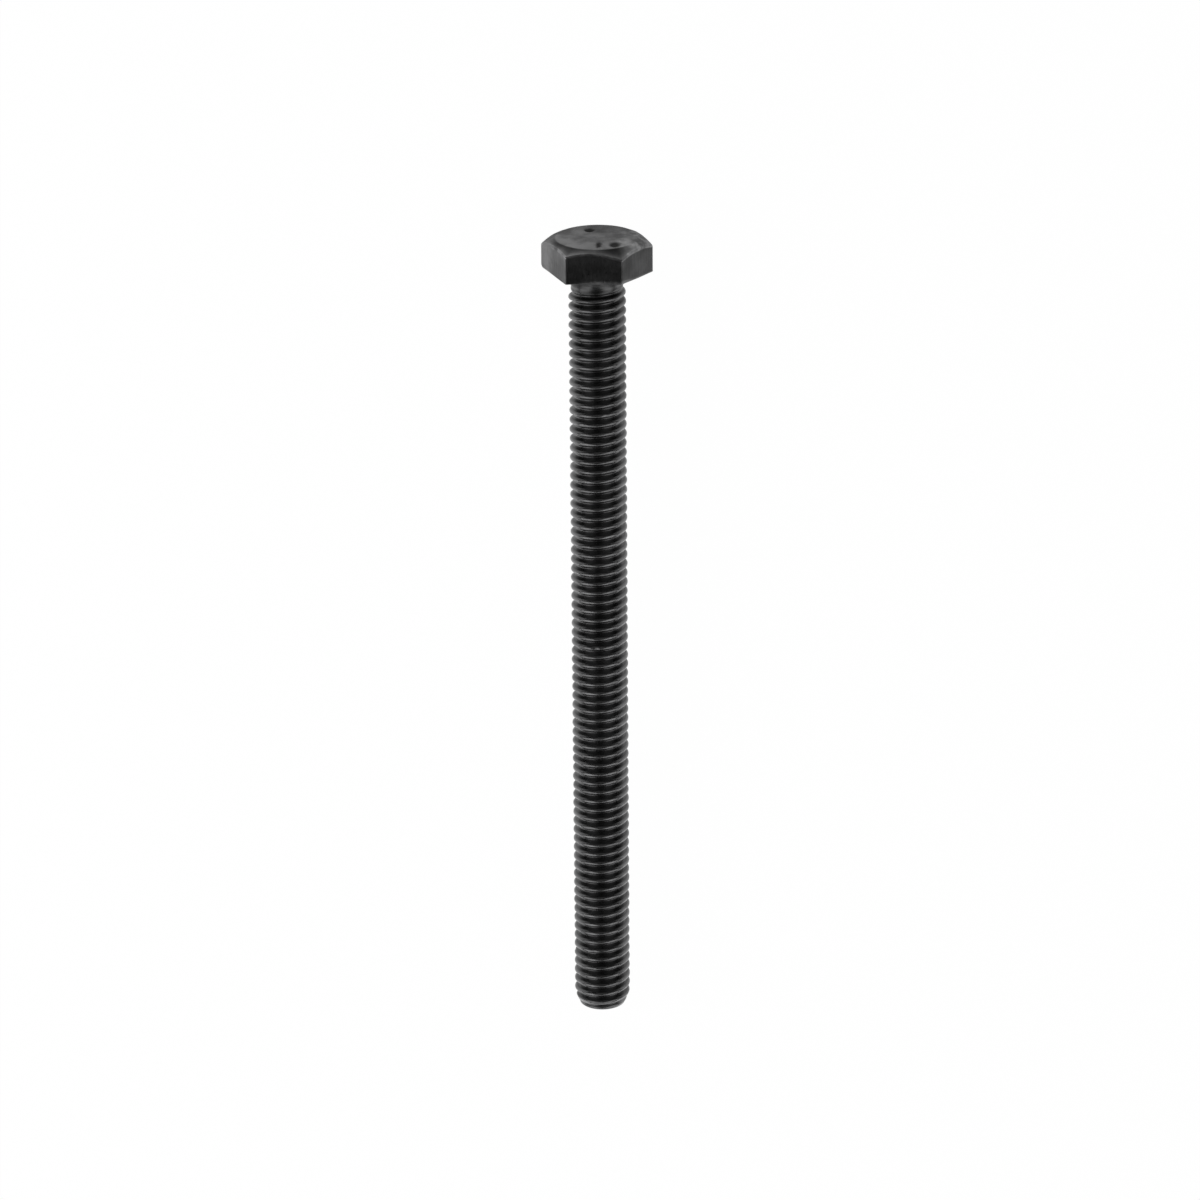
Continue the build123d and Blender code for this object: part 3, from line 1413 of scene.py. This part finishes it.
@dataclass
class Studio:
    """The plain white table, the soft lamps and the camera over the screw."""

    pose: RestPose = RestPose()
    table_head_edge: float = -0.078
    table_tip_edge: float = 0.6
    table_side_edge: float = 0.6
    table_grey: float = 0.85
    table_roughness: float = 0.9
    # How white the table is to the camera, and the painted pool of light that the screw mirrors from it:
    # its brightness along the middle, then as a share of that at its sides, and how much brighter it is
    # away from the head, whose painted shadow dims it
    glow_seen: float = 0.99
    glow_mirrored: float = 0.72
    pool_fall: float = 0.12
    pool_sides: Span = (0.016, 0.042)
    pool_gain: float = 1.38
    pool_gain_stations: Span = (-0.036, -0.016)
    world_level: float = 0.04
    # The camera's place from the middle of the hexagon's underside, in millimetres, and its turns
    camera_right: float = 0.05
    camera_headward: float = 146.33
    camera_out: float = 471.73
    camera_turn: float = math.radians(3.82)
    camera_pitch: float = math.radians(21.057)
    camera_roll: float = math.radians(0.441)
    lens: float = 148.41
    sensor_width: float = 36.0
    camera_clip: Span = (0.01, 50.0)
    lamp_target: tuple[float, float, float] = (0.0, 0.0, 0.004)
    lamps: tuple[Lamp, ...] = (
        Lamp("table_lamp", (0.0, -0.50, 0.28), width=0.40, height=0.25, radiance=11.0, mirrored=False),
        Lamp("softbox_left", (0.22, -0.46, 0.39), width=1.05, height=0.54, radiance=0.84),
        Lamp("softbox_right", (0.22, 0.46, 0.39), width=1.05, height=0.50, radiance=0.79),
        Lamp("softbox_tip", (0.62, 0.0, 0.16), width=0.60, height=0.30, radiance=0.45),
        Lamp("softbox_head", (-0.45, 0.0, 0.42), width=0.60, height=0.30, radiance=0.20),
    )

    def table_material(self) -> bpy.types.Material:
        """Makes the white paint, which keeps a soft share of the screw's shadow and shows mirrored rays a
        painted pool of light.

        Returns:
            The finished material.
        """
        material = bpy.data.materials.new("white_table")
        material.use_nodes = True
        nodes = NodeTree(material.node_tree)
        paint = material.node_tree.nodes["Principled BSDF"]
        paint.inputs["Base Color"].default_value = grey(self.table_grey)
        paint.inputs["Roughness"].default_value = self.table_roughness
        paint.inputs["Specular IOR Level"].default_value = 0.0
        glow = nodes.add("ShaderNodeEmission")

        # Painted light: mirrored rays see the table glow as a pool, dimmer at its sides and near the head
        path = nodes.add("ShaderNodeLightPath").outputs
        mirrored = nodes.calculate("ADD", path["Is Glossy Ray"], path["Is Transmission Ray"], clamp=True)
        apart = nodes.add("ShaderNodeSeparateXYZ")
        nodes.link(nodes.add("ShaderNodeTexCoord").outputs["Object"], apart.inputs[0])
        aside = nodes.calculate("ABSOLUTE", apart.outputs["Y"])
        pool = nodes.remap(aside, *self.pool_sides, self.glow_mirrored,
                           self.glow_mirrored * self.pool_fall, smooth=True)
        gain = nodes.remap(apart.outputs["X"], *self.pool_gain_stations, 1.0, self.pool_gain, smooth=True)
        pool = nodes.calculate("MULTIPLY", mirrored, nodes.calculate("MULTIPLY", pool, gain))
        share = nodes.calculate("MULTIPLY_ADD", path["Is Camera Ray"], self.glow_seen, pool)
        blend = nodes.add("ShaderNodeMixShader")
        nodes.link(share, blend.inputs[0])
        nodes.link(paint.outputs[0], blend.inputs[1])
        nodes.link(glow.outputs[0], blend.inputs[2])
        nodes.link(blend.outputs[0], material.node_tree.nodes["Material Output"].inputs["Surface"])
        return material

    def build_table(self) -> bpy.types.Object:
        """Adds the white table.

        Returns:
            The table's object.
        """
        head, tip, side = self.table_head_edge, self.table_tip_edge, self.table_side_edge
        corners = [(head, -side, 0.0), (tip, -side, 0.0), (tip, side, 0.0), (head, side, 0.0)]
        mesh = bpy.data.meshes.new("table")
        mesh.from_pydata(corners, [], [(0, 1, 2, 3)])
        mesh.materials.append(self.table_material())
        table = add_object("table", mesh)
        return table

    def build_world(self) -> None:
        """Sets the even, neutral light from all round, behind a plain white background."""
        world = bpy.data.worlds.new("studio")
        world.use_nodes = True
        nodes = NodeTree(world.node_tree)
        background = world.node_tree.nodes["Background"]
        background.inputs["Color"].default_value = grey(1.0)
        seen = nodes.add("ShaderNodeLightPath").outputs["Is Camera Ray"]
        level = nodes.remap(seen, low=0.0, high=1.0, to_low=self.world_level, to_high=1.0)
        nodes.link(level, background.inputs["Strength"])
        bpy.context.scene.world = world

    def build_camera(self) -> bpy.types.Object:
        """Adds the camera, which looks down on the lying screw with its head at the top.

        Returns:
            The camera's object.
        """
        cos_turn, sin_turn = math.cos(self.camera_turn), math.sin(self.camera_turn)
        outward = self.pose.upward * cos_turn + self.pose.across * sin_turn
        right = self.pose.across * cos_turn - self.pose.upward * sin_turn
        headward = -self.pose.along
        place = self.pose.centre + self.camera_right * right + self.camera_headward * headward
        place = (place + self.camera_out * outward) * MM
        axes = Matrix((right, headward, outward)).transposed()
        lean = Matrix.Rotation(-self.camera_pitch, 3, "X") @ Matrix.Rotation(-self.camera_roll, 3, "Z")
        data = bpy.data.cameras.new("camera")
        data.lens = self.lens
        data.sensor_width = self.sensor_width
        data.clip_start, data.clip_end = self.camera_clip
        camera = add_object("camera", data)
        camera.matrix_world = Matrix.Translation(place) @ (axes @ lean).to_4x4()
        bpy.context.scene.camera = camera
        return camera

    def build(self) -> None:
        """Adds the table, the world, the lamps and the camera."""
        self.build_table()
        self.build_world()
        for lamp in self.lamps:
            lamp.build(Vector(self.lamp_target))
        self.build_camera()
        bpy.context.scene.view_settings.view_transform = "Standard"


def main() -> None:
    """Builds the screw and its studio."""
    logging.basicConfig(level=logging.INFO, format="%(name)s: %(message)s")
    piece = AdjustingBolt().build()
    LOG.info("%s: %d points, %d faces", piece.name, len(piece.data.vertices), len(piece.data.polygons))
    studio = Studio()
    studio.build()
    LOG.info("studio: table, camera and %d lamps", len(studio.lamps))


if __name__ == "__main__":
    main()
